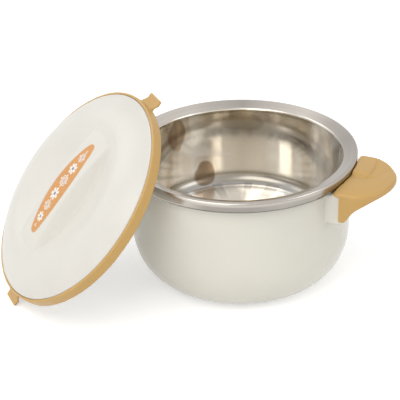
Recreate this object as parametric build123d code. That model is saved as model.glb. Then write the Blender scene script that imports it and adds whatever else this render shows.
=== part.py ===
"""Insulated bread casserole: a steel-lined pot with two ear handles and a loose lid leaning on its rim."""
from build123d import *
from math import cos, hypot, radians, sin, sqrt
import os

os.makedirs("parts", exist_ok=True)

# ---------------------------------------------------------------- driving dimensions, mm
# Pot: +Z up, origin on the table at the middle of the base, handles on the X axis.
# Names that end in _out are distances out from the skirt, and those in _down are below the rim's top.
pot_height = 118.5            # table to the top of the steel rim
rim_radius = 105.0            # outside of the turned-down skirt
clearance = 0.3               # running gap left between pieces that do not touch face to face
overshoot = 1.0               # by which a cutting or trimmed block passes the face it makes

# pressed steel bowl
steel = 0.6                   # sheet thickness
rim_bend = 2.5                # bend between rim and skirt
skirt_depth = 9.0             # height of the turned-down skirt
rim_width = 13.6              # from the skirt to the inner edge of the sloping rim
rim_fall = 3.9                # drop of the rim from its bend to the mouth
mouth_bend = 2.6              # bend between rim and wall
floor_down = 78.0             # rim top to the bowl floor
bowl_draft = 5.2              # how much narrower the wall is at the bottom than at the mouth
bowl_corner = 12.5            # corner between wall and floor

# moulded outer shell
shell_wall = 2.4
shell_inset = 5.1             # of the wall from the skirt, where they meet
belly_taper = 1.25            # how much narrower the wall is where it starts to round under
belly_height = 45.0           # where that is
foot_inset = 41.0             # of the foot from the skirt
foot_width = 6.0              # flat ring the pot stands on
base_ledge = 6.0              # width of the ledge that carries the base cover
belly_pull = 25.0             # how full the rounding is next to the wall
foot_pull = 19.5              # how full the rounding is next to the foot

# base cover and the plug of its filling hole
cover_plate = 2.2             # it lies flush in the foot ring
cover_lip = 2.0
cover_lip_height = 5.0
fill_hole_radius = 6.0
fill_hole_offset = 30.0       # of the filling hole from the middle
plug_head_radius = 9.0
plug_head = 1.0
plug_recess = 1.3             # depth of the plug's seat in the cover
plug_stem_height = 7.0

# handle bosses on the shell
boss_half_width = 32.5
boss_out = 1.8                # flat face of the boss
boss_top_down = 10.9
boss_height = 29.6
boss_corner = 3.0
boss_root = 2.0               # rounding where a boss stands on the shell
screw_offset = 18.0           # of the two screws from the handle's middle
screw_down = 25.5
screw_post_radius = 4.2
screw_post_length = 9.0

# handles
handle_half_width = 35.5
tip_out = 39.5
round_start_out = 11.0        # where the straight sides turn into the rounded end
handle_gap = 0.5              # between the handle and the skirt
nose_out = -4.2               # where the handle starts beside the skirt
handle_nose_corner = 4.0      # rounding of those two corners seen from above
crest_down = 5.1              # top surface at its highest
crest_out = 15.0
handle_arch = 233.0           # radius of the top seen from the side
handle_side_fall = 2.2        # how much lower the top is at the sides than in the middle
handle_swing = 15.0           # degrees by which the arch runs past its crest, both ways
wing_down = 10.5              # underside of the handle beside the boss
plate_foot_down = 34.6        # lower end of the plate on the boss
handle_plate = 4.8            # thickness of that plate
handle_wall = 2.8
handle_edge = 3.0             # rounding of the top edge
arm_knee = (13.5, 25.0)       # out and down, of the curve under the arm
arm_middle = (23.5, 17.0)
arm_end = (41.5, 10.3)
arm_start_slope = (1, 0.8)
arm_end_slope = (1, 0.12)
rib_thickness = 2.0
rib_depth = 5.0
rib_offset = 11.0
rest_down = 3.0               # top of the raised rest under the lid's tab
rest_front = 4.3              # front edge of the rest's flat top
rest_front_run = 5.6          # run of the slope in front of it
rest_outer = (13.5, 3.0)      # out and down, of the outer edge of the rest's flat top
rest_crease = (17.5, 4.1)     # where its short outer slope ends
rest_end = (38.0, 7.7)        # and where the long slope behind it runs out
rest_edge = 0.8
rest_inset = 1.4              # of the rest from the handle's own edge

# handle screws
screw_radius = 1.7
screw_length = 12.0
screw_head_radius = 3.5
screw_head = 2.0
screw_recess = 1.2
screw_recess_width = 1.0
screw_fit = 0.05              # between the shank and its pilot hole

# lid, in its own frame: z = 0 is the underside of its ring
ring_inset = 3.0              # of the lid's ring from the skirt
ring_height = 8.8
ring_bevel = 0.7              # height of the bevel above the ring's wall
ring_draft = 0.2
ring_wall = 2.4
ring_lip = 2.0                # thickness of the lip that carries cover and liner
ring_lip_width = 9.0
tab_length = 10.0             # from the ring to the tab's tip
tab_half_width = 11.0
tab_thickness = 2.4
tab_step_gap = 0.4            # between the tab's step and the bend of the rim
tab_corner = 1.6
tab_edge = 0.6
tab_gusset = 4.6              # reach and height of the slope between ring and tab
tab_gusset_height = 3.4

cover_wall = 2.2
cover_edge_height = 9.0       # where the cover starts beside the ring
crest_inset = 36.0            # from the ring to the crest round the dish
crest_height = 22.9
crest_edge = 9.0              # rounding of the crest
shoulder_inset = 16.0         # from the ring to the middle of the shoulder
shoulder_down = 5.0           # of that place below the crest
dish_depth = 12.9             # of the dish round the grip bar, below the crest
dish_margin = 0.9             # by which the dish passes the crest
grip_rise = 3.1               # of the grip bar's middle above the crest
grip_fall = 6.9               # how much lower it is at its ends
grip_end_inset = 2.0          # from the crest to the bar's ends
grip_top_half = 16.8          # half width at the top
grip_foot_half = 24.5         # half width at the dish
grip_edge = 3.4               # rounding along the top
grip_root = 2.5               # rounding at the dish

insert_point_inset = 8.0      # from the crest to where the arcs of the insert's outline would meet
insert_half_width = 12.8
insert_end = 6.0              # rounding of its two ends
insert_thickness = 0.8

liner_wall = 2.0
plug_depth = 8.0              # how far the liner reaches below the ring
plug_fit = 1.4                # between the plug and the bowl's mouth
plug_draft = 0.5
plug_corner = 2.5
liner_step_radius = 40.0      # the middle of the liner's floor is raised by a step
liner_step = 1.2
liner_step_run = 2.0

# how the lid leans
lean_tilt = 49.34             # of the lid's axis from the vertical, degrees
lean_azimuth = 227.97         # direction in which the lid faces, seen from above, degrees
lean_offset = 25.3            # sideways distance between the lid's middle and the pot's axis
lean_gap = 0.3                # between the leaning lid and the rim
floor_gap = 0.1               # between the lower tab and the table


# ---------------------------------------------------------------- values that follow from them
def arch_radius(half_width, rise):
    """Radius of an arch from half its width and its rise."""
    return (half_width**2 + rise**2) / (2 * rise)


def beside_rim(place):
    """Point of a side view of the right handle, from its distances out and down."""
    return (rim_radius + place[0], pot_height - place[1])


skirt_bottom = pot_height - skirt_depth
floor_height = pot_height - floor_down
rim_edge_radius = rim_radius - rim_bend
mouth_radius = rim_radius - rim_width
mouth_height = pot_height - rim_fall
bowl_floor_radius = mouth_radius - bowl_draft
shell_top_radius = rim_radius - shell_inset
belly_radius = shell_top_radius - belly_taper
foot_radius = rim_radius - foot_inset
base_opening = foot_radius - foot_width - base_ledge
ledge_top = cover_plate + shell_wall
boss_face = rim_radius + boss_out
boss_top = pot_height - boss_top_down
boss_bottom = boss_top - boss_height
screw_height = pot_height - screw_down
plate_face = boss_face + handle_plate
plate_foot = (plate_face, pot_height - plate_foot_down)
handle_tip = rim_radius + tip_out
handle_round_start = rim_radius + round_start_out
handle_crest = pot_height - crest_down
rest_height = pot_height - rest_down
ring_radius = rim_radius - ring_inset
ring_lip_inner = ring_radius - ring_lip_width
tab_reach = ring_radius + tab_length
dome_edge_radius = ring_radius - ring_wall - clearance
crest_radius = ring_radius - crest_inset
shoulder_height = crest_height - shoulder_down
dish_floor = crest_height - dish_depth
dish_radius = arch_radius(crest_radius + dish_margin, dish_depth)
grip_height = crest_height + grip_rise
grip_half_length = crest_radius - grip_end_inset
grip_arch = arch_radius(grip_half_length, grip_fall)
insert_point = crest_radius - insert_point_inset
plug_radius = mouth_radius - plug_fit


def on_side(part, angle):
    """Turn a piece modelled on +X round the pot's axis."""
    return part.rotate(Axis.Z, angle)


def disc(radius, low, high):
    """Solid disc round the Z axis between two heights."""
    return Pos(0, 0, (low + high) / 2) * Cylinder(radius, high - low)


# ---------------------------------------------------------------- pot
def wall_radius(height):
    """Outside radius of the shell's straight wall at a height."""
    share = (height - belly_height) / (skirt_bottom - belly_height)
    return belly_radius + (shell_top_radius - belly_radius) * share


def shell_form(inset, top):
    """Body of revolution bounded by the shell's outside, moved inwards by inset."""
    lean = (shell_top_radius - belly_radius) / (skirt_bottom - belly_height)
    belly = (belly_radius - inset, belly_height)
    pull = (belly[0] - belly_pull * lean, belly_height - belly_pull)
    foot = (foot_radius, inset)
    rounding = Bezier(foot, (foot_radius + foot_pull, inset), pull, belly)
    top_edge = (wall_radius(top) - inset, top)
    outline = rounding + Polyline(belly, top_edge, (0, top), (0, inset), foot)
    return revolve(make_face(Plane.XZ * outline), Axis.Z)


def boss_block(inset):
    """Block that carries one handle, on +X, shrunk by inset on its outer sides."""
    width = 2 * (boss_half_width - inset)
    low = boss_bottom + inset
    high = boss_top - inset
    start = mouth_radius
    length = boss_face - inset - start
    block = Pos(start + length / 2, 0, (low + high) / 2) * Box(length, width, high - low)
    return fillet(block.edges().filter_by(Axis.X), boss_corner - inset / 2)


def boss_roots(form):
    """Upright edges where the bosses stand on the shell."""
    root_radius = wall_radius(boss_bottom)
    roots = []
    for edge in form.edges():
        middle = edge @ 0.5
        upright = abs((edge % 0.5).Z) > 0.9
        if upright and boss_bottom < middle.Z < boss_top and hypot(middle.X, middle.Y) < root_radius + clearance * 3:
            roots.append(edge)
    return roots


def screw_posts(radius, length):
    """Two posts behind a boss face, on +X, along the screws."""
    posts = []
    for side in (-1, 1):
        at = Pos(boss_face - length / 2, side * screw_offset, screw_height)
        posts.append(at * Rot(0, 90, 0) * Cylinder(radius, length))
    return posts


def outer_shell():
    """Moulded outer shell with a foot ring, an open bottom and two hollow bosses."""
    shell_top = mouth_height - steel - clearance
    body = shell_form(0, shell_top)
    bosses = [on_side(boss_block(0), angle) for angle in (0, 180)]
    hollow = shell_form(shell_wall, shell_top + shell_wall) - disc(foot_radius, 0, ledge_top)
    shell = fillet(boss_roots(body + bosses), boss_root) - hollow
    shell -= disc(foot_radius - foot_width, 0, cover_plate)
    shell -= disc(base_opening, 0, ledge_top + shell_wall)
    for angle in (0, 180):
        shell -= on_side(boss_block(shell_wall), angle)
        shell += [on_side(post, angle) for post in screw_posts(screw_post_radius, screw_post_length)]
        pilot = screw_posts(screw_radius + screw_fit, screw_post_length - clearance)
        shell -= [on_side(hole, angle) for hole in pilot]
    return shell


def bowl_path():
    """Middle line of the pressed sheet, from the bowl's axis to the foot of the skirt."""
    half = steel / 2
    skirt = rim_radius - half
    bend = rim_bend - half
    slope = rim_fall / (rim_edge_radius - mouth_radius)
    rim_line = pot_height - rim_bend + bend * sqrt(1 + slope**2)
    corner_height = rim_line + bend * slope
    mouth_run = rim_edge_radius - mouth_radius - half
    points = [
        (0, floor_height - half),
        (bowl_floor_radius, floor_height - half),
        (mouth_radius + half, rim_line - mouth_run * slope),
        (skirt, corner_height),
        (skirt, skirt_bottom),
    ]
    return FilletPolyline(*points, radius=[bowl_corner, mouth_bend, bend])


def inner_bowl():
    """Steel bowl, sloping rim and turned-down skirt, pressed from one sheet."""
    middle = Wire(bowl_path().edges())
    section = make_face(middle.offset_2d(steel / 2, side=Side.BOTH, closed=True))
    return revolve(Plane.XZ * section, Axis.Z)


def body_foam():
    """Foam that fills the space between shell and bowl."""
    foam_top = mouth_height - 2 * mouth_bend - steel
    bottom = plug_recess + plug_stem_height + 2 * clearance
    fill = shell_form(shell_wall + clearance, foam_top) & disc(rim_radius, bottom, pot_height)
    gap = steel + clearance
    low = floor_height - gap
    bowl = [
        (0, low),
        (bowl_floor_radius + gap, low),
        (mouth_radius + gap, mouth_height),
        (0, mouth_height),
    ]
    space = make_face(Polyline(*bowl, close=True))
    corner = space.vertices().sort_by(Axis.Y)[:2].sort_by(Axis.X)[-1]
    space = fillet(corner, bowl_corner)
    return fill - revolve(Plane.XZ * space, Axis.Z)


def base_cover():
    """Disc that closes the shell's bottom and snaps into its opening."""
    plate = disc(foot_radius - foot_width - clearance, 0, cover_plate)
    plate = chamfer(plate.edges().sort_by(Axis.Z)[0], clearance)
    lip_radius = base_opening - clearance
    lip_top = cover_plate + cover_lip_height
    lip = disc(lip_radius, cover_plate, lip_top) - disc(lip_radius - cover_lip, cover_plate, lip_top)
    hole = disc(fill_hole_radius, 0, cover_plate)
    seat = disc(plug_head_radius + clearance, 0, plug_recess)
    return plate + lip - Pos(fill_hole_offset, 0, 0) * (hole + seat)


def base_plug():
    """Plug pressed into the filling hole of the base cover, sunk below the plate."""
    head = disc(plug_head_radius, plug_recess - plug_head, plug_recess)
    head = fillet(head.edges().sort_by(Axis.Z)[0], plug_head / 2)
    stem = disc(fill_hole_radius - clearance, plug_recess, plug_recess + plug_stem_height)
    stem = chamfer(stem.edges().sort_by(Axis.Z)[-1], plug_head / 2)
    return Pos(fill_hole_offset, 0, 0) * (head + stem)


# ---------------------------------------------------------------- handles
def handle_outline(inset):
    """Plan of one handle on +X, before it is cut out round the skirt."""
    half = handle_half_width - inset
    start = rim_radius + nose_out + inset
    reach = handle_tip - inset - handle_round_start
    middle = (handle_round_start, 0)
    tip = EllipticalCenterArc(middle, reach, half, start_angle=-90, arc_size=180)
    root = Polyline(tip @ 1, (start, half), (start, -half), tip @ 0)
    face = make_face(root + tip)
    corners = face.vertices().sort_by(Axis.X)[:2]
    return fillet(corners, handle_nose_corner - inset / 2)


def handle_prism(inset):
    """Upright prism over the handle's plan, shrunk by inset."""
    return extrude(handle_outline(inset), pot_height)


def skirt_cut(inset):
    """Cylinder that keeps the handle off the skirt, grown by inset."""
    return disc(rim_radius + handle_gap + inset, 0, 2 * pot_height)


def handle_top(drop):
    """Solid below the handle's arched and crowned top, moved down by drop."""
    half = handle_half_width + handle_wall
    fall = handle_side_fall * (half / handle_half_width) ** 2
    arch = handle_arch - drop
    crown = ThreePointArc((-half, arch - fall), (0, arch), (half, arch - fall))
    low = handle_arch - (plate_foot_down - crest_down + handle_plate)
    sides = Polyline(crown @ 1, (half, low), (-half, low), crown @ 0)
    swing = revolve(Plane.YZ * make_face(crown + sides), Axis.Y, revolution_arc=2 * handle_swing)
    centre = Pos(rim_radius + crest_out, 0, handle_crest - handle_arch)
    return centre * swing.rotate(Axis.Y, -handle_swing)


def handle_side():
    """Side view of one handle, bounded below by the root plate and the swept arm."""
    low = pot_height - wing_down
    knee, middle, end = [beside_rim(place) for place in (arm_knee, arm_middle, arm_end)]
    arm = Spline(plate_foot, knee, middle, end, tangents=[arm_start_slope, arm_end_slope])
    over = Polyline(end, (end[0], rest_height), (mouth_radius, rest_height), (mouth_radius, low), (boss_face, low))
    plate = Polyline((boss_face, low), (boss_face, plate_foot[1]), plate_foot)
    return extrude(make_face(Plane.XZ * (arm + over + plate)), handle_tip, both=True)


def tab_rest():
    """Raised rest beside the skirt, with a slope at its front and its outer end."""
    low = handle_crest - 2 * handle_side_fall
    fall = rest_height - low
    foot = rest_front - rest_front_run * fall / (rest_height - handle_crest + handle_side_fall)
    half = handle_half_width
    across = [(foot, low), (rest_front, rest_height), (half, rest_height), (half, low)]
    outer, crease, end = [beside_rim(place) for place in (rest_outer, rest_crease, rest_end)]
    along = [(mouth_radius, low), (mouth_radius, rest_height), outer, crease, end, (end[0], low)]
    length = Pos(mouth_radius, 0, 0) * extrude(Plane.YZ * make_face(Polyline(*across, close=True)), handle_tip)
    width = extrude(Plane.XZ * make_face(Polyline(*along, close=True)), handle_tip, both=True)
    rest = (length & width & handle_prism(rest_inset)) - skirt_cut(0)
    top = rest.faces().sort_by(lambda face: face.center().Z)[-1]
    return fillet(top.edges(), rest_edge)


def handle():
    """Hollow ear handle on +X, open underneath."""
    body = handle_prism(0) & handle_side() & handle_top(0)
    body = fillet(body.faces().sort_by(Axis.Z)[-1].edges(), handle_edge) - skirt_cut(0)
    plate = Pos(boss_face + handle_plate / 2, 0, 0) * Box(handle_plate, 2 * handle_tip, 2 * pot_height)
    space = (handle_prism(handle_wall) & handle_top(handle_wall)) - skirt_cut(handle_wall)
    body -= space - plate
    body += tab_rest()
    for offset in (-rib_offset, rib_offset):
        body += handle_rib(offset)
    holes = screw_posts(screw_radius + screw_fit, 2 * screw_length)
    return body - [Pos(screw_length, 0, 0) * hole for hole in holes]


def handle_rib(offset):
    """Stiffening rib under the handle's top, across the finger space."""
    high = handle_crest - handle_side_fall - handle_wall / 2
    start = plate_face - handle_wall / 2
    length = handle_round_start + handle_wall - start
    return Pos(start + length / 2, offset, high - rib_depth / 2) * Box(length, rib_thickness, rib_depth)


def handle_screws():
    """The four cross-recessed screws that hold both handles on their bosses."""
    screw_solids = []
    for angle in (0, 180):
        for side in (-1, 1):
            at = Pos(plate_face, side * screw_offset, screw_height) * Rot(0, 90, 0)
            head = Pos(0, 0, screw_head / 2) * Cylinder(screw_head_radius, screw_head)
            head = fillet(head.edges().sort_by(Axis.Z)[-1], screw_head / 2)
            shank = Pos(0, 0, -screw_length / 2) * Cylinder(screw_radius, screw_length)
            shank = chamfer(shank.edges().sort_by(Axis.Z)[0], screw_radius / 2)
            slot = Pos(0, 0, screw_head) * Box(screw_head_radius, screw_recess_width, 2 * screw_recess)
            screw = head + shank - slot - slot.rotate(Axis.Z, 90)
            screw_solids.append(on_side(at * screw, angle))
    return Compound(children=screw_solids)


# ---------------------------------------------------------------- lid, in its own frame
def lid_ring():
    """Ring round the lid with a lip inside and two flat tabs."""
    wall_inner = ring_radius - ring_wall
    section = [
        (ring_lip_inner, 0),
        (ring_radius, 0),
        (ring_radius - ring_draft, ring_height),
        (wall_inner, ring_height + ring_bevel),
        (wall_inner, ring_lip),
        (ring_lip_inner, ring_lip),
    ]
    ring = revolve(make_face(Plane.XZ * Polyline(*section, close=True)), Axis.Z)
    for angle in (0, 180):
        ring += lid_tab().rotate(Axis.Z, angle)
    return ring


def lid_tab():
    """One tab on +X, stepped down past the rim's bend so that it lies over a handle's rest."""
    start = ring_radius - ring_wall / 2
    step = rim_radius + tab_step_gap - rim_bend / 2
    low = -tab_thickness
    side = [
        (start, 0),
        (step, 0),
        (step + tab_thickness, low),
        (tab_reach, low),
        (tab_reach, 0),
        (ring_radius + tab_gusset, 0),
        (ring_radius - ring_draft, tab_gusset_height),
        (start, tab_gusset_height),
    ]
    tab = extrude(Plane.XZ * make_face(Polyline(*side, close=True)), tab_half_width, both=True)
    tip = tab.faces().sort_by(Axis.X)[-1]
    tab = fillet(tip.edges().filter_by(Axis.Z), tab_corner)
    tip_edges = [edge for edge in tab.edges() if edge.center().X > tab_reach - tab_corner]
    return fillet([edge for edge in tip_edges if not_upright(edge)], tab_edge)


def not_upright(edge):
    """Whether both ends of an edge are at the same height."""
    return abs((edge @ 0).Z - (edge @ 1).Z) < steel


def dish_form(inset):
    """Round lid top with its dish, as a solid, its skin moved inwards by inset."""
    crest = (crest_radius, crest_height - inset)
    middle = (ring_radius - shoulder_inset - inset / 2, shoulder_height - inset)
    edge = (dome_edge_radius - inset, cover_edge_height - inset / 2)
    shoulder = ThreePointArc(crest, middle, edge)
    rest = Polyline(edge, (edge[0], ring_lip), (0, ring_lip), (0, crest[1]), crest)
    form = revolve(Plane.XZ * make_face(shoulder + rest), Axis.Z)
    form -= Pos(0, 0, dish_floor + dish_radius) * Sphere(dish_radius + inset)
    ring = form.edges().filter_by(GeomType.CIRCLE).sort_by(Axis.Z)[-1]
    return fillet(ring, crest_edge)


def grip_form(inset):
    """Arched bar across the dish, narrower by inset on every side."""
    lean = (grip_foot_half - grip_top_half) / (grip_height - dish_floor)
    side = inset * sqrt(1 + lean**2)
    top = grip_height + overshoot
    spread = lean * (top - ring_lip)
    top_half = grip_top_half - side - lean * (top - grip_height)
    corners = [
        (-top_half - spread, ring_lip),
        (top_half + spread, ring_lip),
        (top_half, top),
        (-top_half, top),
    ]
    form = extrude(Plane.YZ * make_face(Polyline(*corners, close=True)), grip_half_length - inset, both=True)
    arch = grip_arch - inset
    form &= Pos(0, 0, grip_height - grip_arch) * Rot(90, 0, 0) * Cylinder(arch, 2 * crest_radius)
    top_face = form.faces().sort_by(Axis.Z)[-1]
    edges = [edge for edge in top_face.edges() if abs(edge.center().Y) > top_half / 2]
    return fillet(edges, grip_edge - inset / 2)


def cover_form(inset):
    """Dish and grip bar together, with a soft root along the bar."""
    form = dish_form(inset) + grip_form(inset)
    ball_centre = Vector(0, 0, dish_floor + dish_radius)
    ball = dish_radius + inset
    root = []
    for edge in form.edges():
        seam = abs((edge @ 0).Y) + abs((edge @ 1).Y) < steel
        if not seam and on_ball(edge, ball_centre, ball):
            root.append(edge)
    return fillet(root, grip_root)


def on_ball(edge, centre, radius):
    """Whether an edge lies on the sphere of the dish."""
    places = (edge @ 0, edge @ 0.5, edge @ 1)
    return all(abs((place - centre).length - radius) < steel / 2 for place in places)


def lid_cover():
    """Moulded lid top with the grip bar and a shallow seat for its insert."""
    return cover_form(0) - cover_form(cover_wall) - insert_form(0)


def insert_form(gap):
    """Slice of the grip bar's top in the outline of a pointed oval with rounded ends."""
    half = insert_half_width - gap
    point = insert_point - gap
    upper = ThreePointArc((-point, 0), (0, half), (point, 0))
    lower = ThreePointArc((point, 0), (0, -half), (-point, 0))
    oval = make_face(upper + lower)
    prism = extrude(fillet(oval.vertices(), insert_end), 2 * grip_height)
    centre = Pos(0, 0, grip_height - grip_arch) * Rot(90, 0, 0)
    prism &= centre * Cylinder(grip_arch, 2 * crest_radius)
    return prism - centre * Cylinder(grip_arch - insert_thickness, 2 * crest_radius)


def grip_insert():
    """Printed oval insert in the top of the grip bar."""
    return insert_form(clearance / 2)


def liner_form(inset):
    """Solid plug below the lid, its walls moved inwards by inset."""
    top_radius = plug_radius - inset
    low_radius = top_radius - plug_draft
    low = inset - plug_depth
    floor = [
        (0, low + liner_step),
        (liner_step_radius, low + liner_step),
        (liner_step_radius + liner_step_run, low),
        (low_radius, low),
        (top_radius, ring_lip + inset),
        (0, ring_lip + inset),
    ]
    face = make_face(Polyline(*floor, close=True))
    corner = face.vertices().sort_by_distance((low_radius, low))[0]
    return revolve(Plane.XZ * fillet(corner, plug_corner - inset / 2), Axis.Z)


def lid_liner():
    """Liner that closes the lid's underside and plugs into the pot's mouth."""
    flange_radius = dome_edge_radius - cover_wall - clearance
    flange = disc(flange_radius, ring_lip, ring_lip + liner_wall)
    return flange + liner_form(0) - liner_form(liner_wall)


def lid_foam():
    """Foam between the lid's cover and its liner."""
    top = cover_form(cover_wall + clearance)
    low = ring_lip + liner_wall + clearance
    fill = top & disc(ring_radius, low, 2 * grip_height)
    return fill + (liner_form(liner_wall + clearance) & disc(ring_radius, -plug_depth, low))


def lean_frame():
    """Frame of the lid as it leans: on its lower tab, with its liner against the rim."""
    tilt = radians(lean_tilt)
    facing = radians(lean_azimuth)
    out = Vector(cos(facing), sin(facing), 0)
    across = Vector(sin(facing), -cos(facing), 0)
    normal = out * sin(tilt) + Vector(0, 0, cos(tilt))
    upward = out * -cos(tilt) + Vector(0, 0, sin(tilt))
    height = tab_reach * sin(tilt) + tab_thickness * cos(tilt) + floor_gap
    bend_height = pot_height - rim_bend
    support = rim_edge_radius * sin(tilt) + bend_height * cos(tilt) + rim_bend
    distance = support + plug_depth + lean_gap
    outwards = (distance - height * cos(tilt)) / sin(tilt)
    middle = out * outwards + across * lean_offset + Vector(0, 0, height)
    return Plane(origin=middle, x_dir=upward, z_dir=normal)


def leaning(part):
    """Move a piece from the lid's own frame to the place where the lid leans."""
    return lean_frame().location * part


# ---------------------------------------------------------------- files
def single(part):
    """The one solid of a piece, without its wrapping."""
    solids = part.solids()
    if len(solids) != 1:
        raise ValueError(f"expected one solid, got {len(solids)}")
    return solids[0]


pieces = {
    "outer_shell": single(outer_shell()),
    "inner_bowl": single(inner_bowl()),
    "body_foam": single(body_foam()),
    "base_cover": single(base_cover()),
    "base_plug": single(base_plug()),
    "handle_right": single(handle()),
    "handle_left": single(on_side(handle(), 180)),
    "handle_screws": handle_screws(),
    "lid_ring": single(leaning(lid_ring())),
    "lid_cover": single(leaning(lid_cover())),
    "lid_liner": single(leaning(lid_liner())),
    "lid_foam": single(leaning(lid_foam())),
    "grip_insert": single(leaning(grip_insert())),
}

for name, shape in pieces.items():
    export_step(shape, f"parts/{name}.step")
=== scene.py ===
from collections import namedtuple
from math import cos, hypot, pi, radians, sin, sqrt, tan

import bmesh
import bpy
import numpy as np
from bpy.props import FloatProperty, FloatVectorProperty, PointerProperty
from mathutils import Matrix, Vector


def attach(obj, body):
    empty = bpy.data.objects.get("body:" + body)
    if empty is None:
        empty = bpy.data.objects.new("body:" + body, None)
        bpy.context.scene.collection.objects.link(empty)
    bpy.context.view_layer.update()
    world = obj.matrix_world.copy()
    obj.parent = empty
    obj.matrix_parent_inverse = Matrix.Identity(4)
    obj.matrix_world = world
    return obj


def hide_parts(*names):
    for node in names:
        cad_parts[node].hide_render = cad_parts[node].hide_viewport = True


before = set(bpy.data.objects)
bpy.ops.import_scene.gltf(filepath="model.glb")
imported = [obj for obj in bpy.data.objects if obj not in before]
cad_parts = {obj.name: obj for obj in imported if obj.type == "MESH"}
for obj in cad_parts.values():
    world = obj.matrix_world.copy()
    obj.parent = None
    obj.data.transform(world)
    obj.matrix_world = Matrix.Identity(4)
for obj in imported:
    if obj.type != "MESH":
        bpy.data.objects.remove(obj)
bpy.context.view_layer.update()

bl_info = {
    "name": "Insulated casserole",
    "version": (1, 0, 0),
    "blender": (4, 5, 0),
    "location": "3D View > Sidebar > Casserole",
    "description": "Builds the finished pieces of an insulated bread casserole round its packed solids",
    "category": "Object",
}

MM = 0.001
TURN = 256          # points round a full circle


def linear(red, green, blue):
    """Linear colour of an sRGB colour given in 0 to 255."""
    values = []
    for value in (red, green, blue):
        share = value / 255
        values.append(share / 12.92 if share <= 0.04045 else ((share + 0.055) / 1.055) ** 2.4)
    return tuple(values)


def length(name, description, value):
    """A size in metres, given in millimetres."""
    return FloatProperty(name=name, description=description, default=value * MM, unit="LENGTH")


def colour(name, description, value):
    """A colour, given in 0 to 255."""
    return FloatVectorProperty(
        name=name, description=description, default=linear(*value), subtype="COLOR", size=3, min=0, max=1
    )


# ---------------------------------------------------------------- settings
class CasseroleSizes(bpy.types.PropertyGroup):
    rim_radius: length("Rim radius", "Outside of the turned-down steel skirt", 105.0)
    pot_height: length("Pot height", "Table to the top of the rim", 118.5)
    mouth_radius: length("Mouth radius", "Inner edge of the sloping rim", 91.4)
    bowl_depth: length("Bowl depth", "Rim to the bowl's floor", 78.0)
    grip_height: length("Grip height", "Top of the grip bar above the lid's underside", 26.0)
    label_length: length("Insert length", "From end to end of the printed insert", 94.8)


class CasseroleColours(bpy.types.PropertyGroup):
    shell: colour("Shell", "Moulded outer shell", (230, 227, 215))
    lid: colour("Lid", "Moulded lid cover", (224, 221, 213))
    mustard: colour("Handles and ring", "Moulded handles and lid ring", (203, 163, 95))
    steel: colour("Rim steel", "Satin steel of the rim and skirt", (196, 190, 182))
    bowl: colour("Bowl steel", "Polished steel inside the bowl", (233, 228, 219))
    label: colour("Insert", "Ground colour of the printed insert", (217, 154, 86))
    petal: colour("Print", "Light colour of the print", (246, 240, 232))
    dot: colour("Print centres", "Centres of the printed flowers", (140, 138, 165))


def sizes():
    return bpy.context.scene.casserole_sizes


def colours():
    return bpy.context.scene.casserole_colours


# ---------------------------------------------------------------- node helpers
def new_material(name):
    """An empty material with a Principled shader and its output."""
    made = bpy.data.materials.new(name)
    made.use_nodes = True
    tree = made.node_tree
    tree.nodes.clear()
    output = tree.nodes.new("ShaderNodeOutputMaterial")
    shader = tree.nodes.new("ShaderNodeBsdfPrincipled")
    tree.links.new(shader.outputs["BSDF"], output.inputs["Surface"])
    return made, tree, shader


def node(tree, kind, settings=None, **sockets):
    """A node with its settings, its sockets set or linked by name, or by place as i0, i1 and so on."""
    made = tree.nodes.new(kind)
    for key, value in (settings or {}).items():
        setattr(made, key, value)
    for key, value in sockets.items():
        name = key.replace("_", " ")
        socket = made.inputs[int(key[1:])] if key[0] == "i" and key[1:].isdigit() else made.inputs[name]
        if isinstance(value, bpy.types.NodeSocket):
            tree.links.new(value, socket)
        else:
            socket.default_value = value
    return made


def maths(tree, operation, first, second=0.0):
    """Result of an operation on one or two numbers."""
    return node(tree, "ShaderNodeMath", {"operation": operation}, i0=first, i1=second).outputs[0]


def vector_maths(tree, operation, *values):
    """Result of an operation on vectors: a number for a length or distance, and otherwise a vector."""
    sockets = {f"i{index}": value for index, value in enumerate(values)}
    made = node(tree, "ShaderNodeVectorMath", {"operation": operation}, **sockets)
    return made.outputs["Value" if operation in ("LENGTH", "DISTANCE") else "Vector"]


def noise(tree, vector, scale, detail, roughness=0.5):
    """Soft noise between 0 and 1."""
    made = node(
        tree, "ShaderNodeTexNoise", None, Vector=vector, Scale=scale, Detail=detail, Roughness=roughness
    )
    return made.outputs["Fac"]


def ramp(tree, factor, stops):
    """A colour ramp from (place, colour) or (place, grey) stops."""
    made = node(tree, "ShaderNodeValToRGB", None, Fac=factor)
    band = made.color_ramp
    while len(band.elements) < len(stops):
        band.elements.new(1.0)
    for element, (place, shade) in zip(band.elements, stops):
        element.position = place
        values = (shade,) * 3 if isinstance(shade, float) else tuple(shade)
        element.color = (*values, 1.0)
    return made.outputs["Color"]


def spread(tree, factor, low, high):
    """Map 0..1 to low..high."""
    return node(tree, "ShaderNodeMapRange", None, Value=factor, To_Min=low, To_Max=high).outputs["Result"]


def rises(tree, value, span):
    """Zero below the low end of a span, one above its high end, and even between."""
    low, high = span
    return node(tree, "ShaderNodeMapRange", None, Value=value, From_Min=low, From_Max=high).outputs["Result"]


def mix(tree, factor, first, second, blend="MIX"):
    """Two colours blended by a factor."""
    made = node(tree, "ShaderNodeMix", {"data_type": "RGBA", "blend_type": blend})
    for socket, value in ((made.inputs[0], factor), (made.inputs[6], first), (made.inputs[7], second)):
        if isinstance(value, bpy.types.NodeSocket):
            tree.links.new(value, socket)
        elif isinstance(value, (int, float)):
            socket.default_value = value
        else:
            socket.default_value = (*value[:3], 1.0)
    return made.outputs[2]


def bump(tree, shader, height, distance, strength):
    """Let a height disturb the shader's normal."""
    made = node(tree, "ShaderNodeBump", None, Height=height, Distance=distance, Strength=strength)
    tree.links.new(made.outputs["Normal"], shader.inputs["Normal"])


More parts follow.
